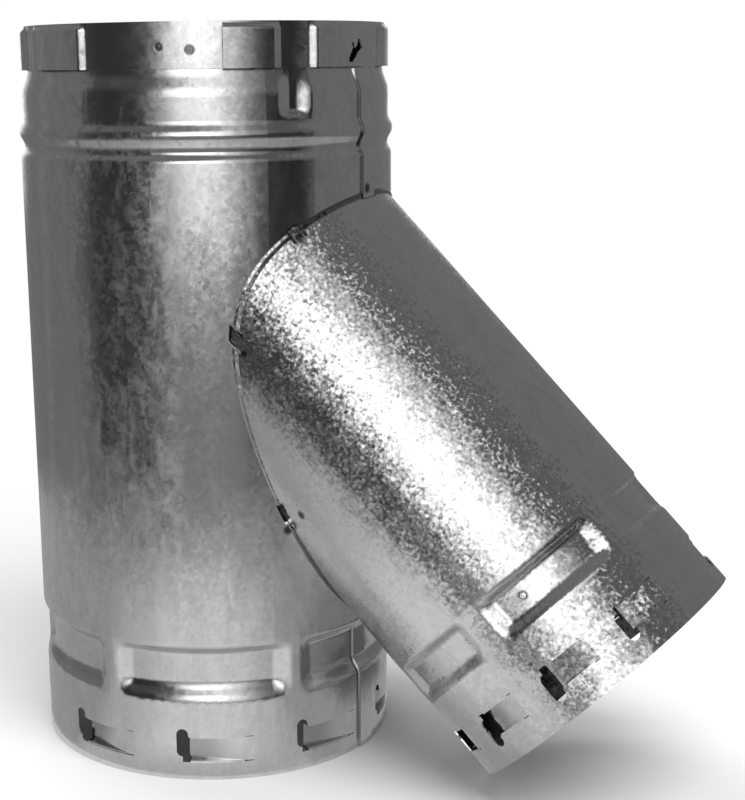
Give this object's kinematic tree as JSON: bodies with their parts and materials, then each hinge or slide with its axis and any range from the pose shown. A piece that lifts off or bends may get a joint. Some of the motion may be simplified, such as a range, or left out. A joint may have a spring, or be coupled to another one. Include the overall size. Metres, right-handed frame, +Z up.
{
  "type": "duct y branch",
  "caption": "Upright round sheet-metal duct with a smaller branch leaving downwards at 45 degrees, raised-pad coupling strip on top and lanced lower ends.",
  "frame": {"origin": "centre of the main duct's lower rim", "axes": "+Z up along the main duct, +X towards the side the branch leaves on, -Y the front"},
  "size_m": [0.2776, 0.1434, 0.2793],
  "materials": {
    "galvanised_main": "galvanised, fine spangle",
    "galvanised_branch": "galvanised, bright speckled spangle",
    "galvanised_strip": "galvanised, satin"
  },
  "bodies": {
    "root": {"main_duct": "galvanised_main", "branch_duct": "galvanised_branch", "coupling_strip": "galvanised_strip"}
  },
  "joints": []
}
